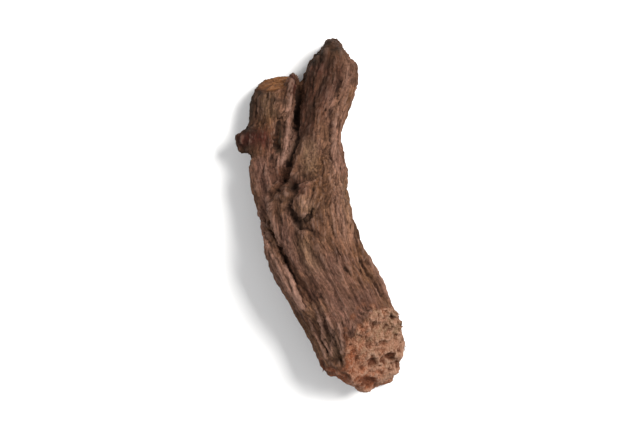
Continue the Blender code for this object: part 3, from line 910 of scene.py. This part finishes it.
def torn_finish():
    f = Finish("torn_wood")
    place = f.place_in_mm()
    relief_here = f.stored("relief")
    blotches = f.cloud(f.stretched(place, 0.75), detail=4.0)
    crumbs = f.cloud(f.stretched(place, 3.4), detail=4.0, rough=0.7)
    colour = f.mix(f.stored("creamy"), PINK_WOOD, CREAM_WOOD)
    colour = f.over(colour, PINK_WOOD, f.stored("knob_tone"), 0.0, 1.0, 0.3)
    olive_share = f.times(f.stored("creamy"), f.stretch_range(blotches, 0.44, 0.62, 0.0, 0.70))
    colour = f.mix(olive_share, colour, OLIVE_WOOD)
    colour = f.over(colour, BROWN_WOOD, blotches, 0.40, 0.28, 0.5)
    grit = f.cells(f.stretched(place, 4.2))
    colour = f.toned(colour, 0.8, crumbs, CRUMB_TONES)
    colour = f.toned(colour, 0.9, grit, GRIT_TONES)
    colour = f.over(colour, PALE_KNOB_AND_RIM_HIGHLIGHT, relief_here, 0.58, 0.95, 0.45)
    # painted highlight on the rims round the holes and along the torn edge
    colour = f.mix(f.times(f.stored("hole_rim"), 0.7), colour, PALE_KNOB_AND_RIM_HIGHLIGHT)
    # holes darkened: their reddish-brown inside, and painted shade
    colour = f.over(colour, HOLE_AND_CREASE_SHADE, f.stored("hole"), 0.10, 0.45, 0.85)
    # painted shade: creases and low places darkened
    colour = f.over(colour, HOLE_AND_CREASE_SHADE, relief_here, 0.36, 0.0, 0.95)
    colour = f.over(colour, RED_RIM, f.stored("edge"), 0.92, 0.55, 0.8)
    normal = f.bump(crumbs, 0.16 * MM, 0.9)
    normal = f.bump(f.maths("SUBTRACT", 1.0, grit), 0.14 * MM, 0.9, normal)
    return f.done(colour, f.stretch_range(relief_here, 0.2, 0.9, 0.94, 0.80), normal)


torn_material = torn_finish()
print("torn wood:", len(torn_material.node_tree.nodes), "nodes")

# %% [markdown]
# ### Sawn wood
#
# The cut across the prong is orange, the colour the dye gives the wood. Faint, uneven rings and rays
# lie round the middle among fine pores, and the bark is a dark line at the rim. The left side of the
# cut, its cracks and its low places are darkened as painted shade.

# %% The sawn wood finish
ORANGE_WOOD = (0.140, 0.054, 0.018)
PALE_RING = (0.210, 0.092, 0.036)
DARK_RING_AND_SHADE = (0.034, 0.014, 0.007)
RING_COUNT, RING_WAVER = 9.0, 6.0
SAWDUST_TONES = ((0.34, (0.55, 0.50, 0.45)), (0.52, WHITE), (0.68, (1.25, 1.2, 1.15)))
PORE_TONES = ((0.08, (0.45, 0.38, 0.32)), (0.24, WHITE), (0.60, (1.08, 1.06, 1.04)))


def sawn_finish():
    f = Finish("cut_wood")
    place = f.place_in_mm()
    specks = f.cloud(f.stretched(place, 4.0), detail=4.0, rough=0.7)
    waver = f.cloud(f.stretched(place, 0.8), detail=3.0)
    turns = f.maths("ADD", f.times(f.stored("ring"), RING_COUNT), f.times(waver, RING_WAVER))
    ring_tone = f.stretch_range(f.maths("SINE", turns), -1.0, 1.0)
    ring_share = f.times(ring_tone, f.stretch_range(waver, 0.35, 0.65, 0.1, 0.9))
    colour = f.mix(ring_share, ORANGE_WOOD, PALE_RING)
    colour = f.over(colour, DARK_RING_AND_SHADE, f.stored("ray"), 0.05, -0.45, 0.55)
    colour = f.over(colour, PALE_RING, f.stored("ray"), 0.10, 0.50, 0.45)
    colour = f.toned(colour, 0.8, specks, SAWDUST_TONES)
    pores = f.cells(f.stretched(place, 4.5))
    colour = f.toned(colour, 0.8, pores, PORE_TONES)
    # the pith darkened in its own colour, and the cracks darkened as painted shade
    colour = f.over(colour, DARK_RING_AND_SHADE, f.stored("saw_crack"), 0.30, 0.90, 0.60)
    # painted shade on the left side of the cut
    colour = f.mix(f.times(f.stored("stained"), 0.75), colour, DARK_RING_AND_SHADE)
    colour = f.over(colour, DARK_RING_AND_SHADE, f.stored("edge"), 0.92, 0.55, 0.9)
    # painted shade: low places darkened
    colour = f.over(colour, DARK_RING_AND_SHADE, f.stored("relief"), 0.44, 0.20, 0.85)
    normal = f.bump(f.maths("ADD", specks, f.times(ring_tone, 0.2)), 0.12 * MM, 0.8)
    normal = f.bump(f.stretch_range(pores, 0.05, 0.30), 0.10 * MM, 0.8, normal)
    return f.done(colour, 0.88, normal)


sawn_material = sawn_finish()
print("sawn wood:", len(sawn_material.node_tree.nodes), "nodes")

# %% [markdown]
# ### Which face gets which finish
#
# A face is torn or sawn wood where most of its corners are.

# %% The finishes on the root
def whole_numbers(items, name):
    """One whole number from each corner or face of a mesh."""
    numbers = np.empty(len(items), np.int32)
    items.foreach_get(name, numbers)
    return numbers


root.data.materials.clear()
for material in (bark_material, torn_material, sawn_material):
    root.data.materials.append(material)
corner_points = whole_numbers(root.data.loops, "vertex_index")
starts = whole_numbers(root.data.polygons, "loop_start")
counts = whole_numbers(root.data.polygons, "loop_total")
torn_faces, sawn_faces = (
    np.add.reduceat(values[corner_points], starts) / counts > 0.5 for values in (torn, sawn)
)
chosen = np.where(sawn_faces, 2, np.where(torn_faces, 1, 0)).astype(np.int32)
root.data.polygons.foreach_set("material_index", chosen)
only_select(root)
bpy.ops.object.shade_smooth()
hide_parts(CAD_NODE)
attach(root, "root")
print("faces:", {m.name: int((chosen == i).sum()) for i, m in enumerate(root.data.materials)})

# %% [markdown]
# ## Flakes of bark
#
# Cork that has dried lifts off in thin flakes, which stay on at one end. A bump or the skin's own
# relief can't show that, because a flake has air under it. One flake is a grid that narrows and
# curls up towards its free end, made thick by Solidify. Copies of it lie along the grain, all round.

# %% Where a small piece touches the bark, and how it is set down there
def limb_middle(y, on_prong):
    line = PRONG_LINE if on_prong else STOCK_LINE
    return Vector((np.interp(y, line[:, 1], line[:, 0]), y, np.interp(y, line[:, 1], line[:, 2])))


def grain_direction(y, on_prong):
    return (limb_middle(y + 1.0, on_prong) - limb_middle(y - 1.0, on_prong)).normalized()


def touch(outside, target):
    """Place and normal where a line from outside to the target meets the skin, in millimetres."""
    met, place, normal, _ = root.ray_cast(outside * MM, (target - outside).normalized())
    return (place / MM, normal) if met else (None, None)


def set_down(template, place, facing, along, size):
    """A copy with its own mesh: its Y along the grain, its Z facing out of the bark."""
    across = along.cross(facing).normalized()
    turn = Matrix((across, facing.cross(across), facing)).transposed().to_4x4()
    copy = template.copy()
    copy.data = template.data.copy()
    bpy.context.scene.collection.objects.link(copy)
    scale = Matrix.Diagonal((*size, 1.0))
    copy.data.transform(Matrix.Translation(place * MM) @ turn @ scale)
    return copy


skin_tree = kdtree.KDTree(len(fine))
for index, place in enumerate(fine):
    skin_tree.insert(place, index)
skin_tree.balance()


def gather(copies, name, finish, relief_here):
    """Joins the copies into one piece, which reads its tints from the skin below it."""
    bpy.ops.object.select_all(action="DESELECT")
    for copy in copies:
        copy.select_set(True)
    bpy.context.view_layer.objects.active = copies[0]
    bpy.ops.object.join()
    piece = bpy.context.active_object
    piece.name = name
    places = read_points(piece.data) / MM
    below = np.array([skin_tree.find(p)[1] for p in places])
    store(piece.data, "grain", swayed[below])
    store(piece.data, "relief", np.full(len(places), relief_here))
    for value_name, values in skin_values.items():
        store(piece.data, value_name, values[below])
    piece.data.materials.clear()
    piece.data.materials.append(finish)
    bpy.ops.object.shade_smooth()
    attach(piece, "root")
    print(name, len(copies), "pieces,", len(piece.data.polygons), "faces")
    return piece


print("skin tree:", len(fine), "points")

# %% One flake, then its copies
FLAKE_COUNT = 64
FLAKE_LENGTHS, FLAKE_WIDTHS, FLAKE_LIFT = (0.7, 1.7), (0.45, 0.9), 0.45
FLAKE_THICKNESS = 0.13
PRONG_FLAKES = 0.3
PRONG_SPAN, STOCK_SPAN = (4.0, 20.0), (-20.0, 25.0)
LOWEST_FLAKE = 1.2
WHOLE_BARK, LEAST_RELIEF = 0.99, 0.5
FLAKE_RELIEF = 0.60
OUTSIDE = 30.0
dice = random.Random(7)


def one_flake():
    """A flake 1 mm wide and 1 mm long, which scaling turns into any other."""
    bpy.ops.object.select_all(action="DESELECT")
    bpy.ops.mesh.primitive_grid_add(x_subdivisions=3, y_subdivisions=7, size=1.0 * MM)
    flake = bpy.context.active_object
    for vertex in flake.data.vertices:
        x, y, _ = vertex.co / MM
        out = y + 0.5
        width = 1.0 - 0.75 * out**2 + 0.25 * noise.noise(Vector((3.0, 5.0 * out, 0.0)))
        bend = 0.16 * noise.noise(Vector((9.0, 2.0 * out, 1.0)))
        arch = 0.10 * (1.0 - 4.0 * x * x)
        vertex.co = Vector((x * width + bend, y, arch + 0.12 * out**2 - 0.12)) * MM
    work_in(flake, "SOLIDIFY", thickness=FLAKE_THICKNESS * MM, offset=0.0)
    return flake


flake_template = one_flake()
flakes = []
while len(flakes) < FLAKE_COUNT:
    on_prong = dice.random() < PRONG_FLAKES
    y = dice.uniform(*(PRONG_SPAN if on_prong else STOCK_SPAN))
    angle = dice.choice((dice.uniform(0.15, 0.85), dice.uniform(-0.2, 1.2))) * math.pi
    length, width = dice.uniform(*FLAKE_LENGTHS), dice.uniform(*FLAKE_WIDTHS)
    flip = dice.choice((-1.0, 1.0))
    middle = limb_middle(y, on_prong)
    outside = middle + OUTSIDE * Vector((math.cos(angle), 0.0, math.sin(angle)))
    place, facing = touch(outside, middle)
    if place is None or place.z < LOWEST_FLAKE:
        continue
    near = skin_tree.find(place)[1]
    if bark[near] < WHOLE_BARK or relief[near] < LEAST_RELIEF:
        continue
    along = grain_direction(y, on_prong) * flip
    flakes.append(set_down(flake_template, place, facing, along, (width, length, FLAKE_LIFT)))
bpy.data.objects.remove(flake_template)
gather(flakes, "bark_flakes", bark_material, FLAKE_RELIEF)

# %% [markdown]
# ## Fibres at the torn end
#
# Where the root was torn, its bast fibres came out of the bark like threads. Each one is a thin cone
# that bends. They stand at the rim of the bark and point the way the root was torn.

# %% One fibre, then its copies
FIBRE_COUNT = 36
FIBRE_LENGTHS, FIBRE_THICKNESSES = (0.5, 1.3), (1.0, 2.0)
FIBRE_SUNK = 0.10
LOWEST_FIBRE = -24.0
FIBRE_RELIEF = 0.62


def one_fibre():
    """A bent spike 1 mm long and 0.2 mm thick, from its root at the origin along Y."""
    bpy.ops.object.select_all(action="DESELECT")
    bpy.ops.mesh.primitive_cone_add(
        vertices=6, radius1=0.10 * MM, radius2=0.015 * MM, depth=1.0 * MM, location=(0, 0, 0.5 * MM)
    )
    fibre = bpy.context.active_object
    bpy.ops.object.transform_apply(location=True)
    open_all(fibre)
    for cut in (0.33, 0.66):
        bpy.ops.mesh.select_all(action="SELECT")
        bpy.ops.mesh.bisect(plane_co=(0, 0, cut * MM), plane_no=(0, 0, 1))
    bpy.ops.object.mode_set(mode="OBJECT")
    for vertex in fibre.data.vertices:
        x, y, out = vertex.co / MM
        vertex.co = Vector((x + 0.12 * out**2, out, 0.7 * y + 0.22 * out**2)) * MM
    open_all(fibre)
    bpy.ops.mesh.normals_make_consistent(inside=False)
    bpy.ops.object.mode_set(mode="OBJECT")
    return fibre


fibre_template = one_fibre()
rim_points = [i for i in range(len(fine)) if 0.3 < torn[i] < 0.7 and fine[i, 1] > LOWEST_FIBRE]
fibres = []
for i in dice.sample(rim_points, FIBRE_COUNT):
    facing = Vector(calm_normals[i])
    along = grain_direction(fine[i, 1], False) * -1.0
    along += Vector((dice.uniform(-0.5, 0.5), 0.0, dice.uniform(-0.3, 0.3)))
    along -= facing * (along.dot(facing) - dice.uniform(0.0, 0.15))
    length, thickness = dice.uniform(*FIBRE_LENGTHS), dice.uniform(*FIBRE_THICKNESSES)
    place = Vector(fine[i]) - facing * FIBRE_SUNK
    along.normalize()
    up = (facing - along * facing.dot(along)).normalized()
    fibres.append(set_down(fibre_template, place, up, along, (thickness, length, thickness)))
bpy.data.objects.remove(fibre_template)
gather(fibres, "torn_fibres", torn_material, FIBRE_RELIEF)
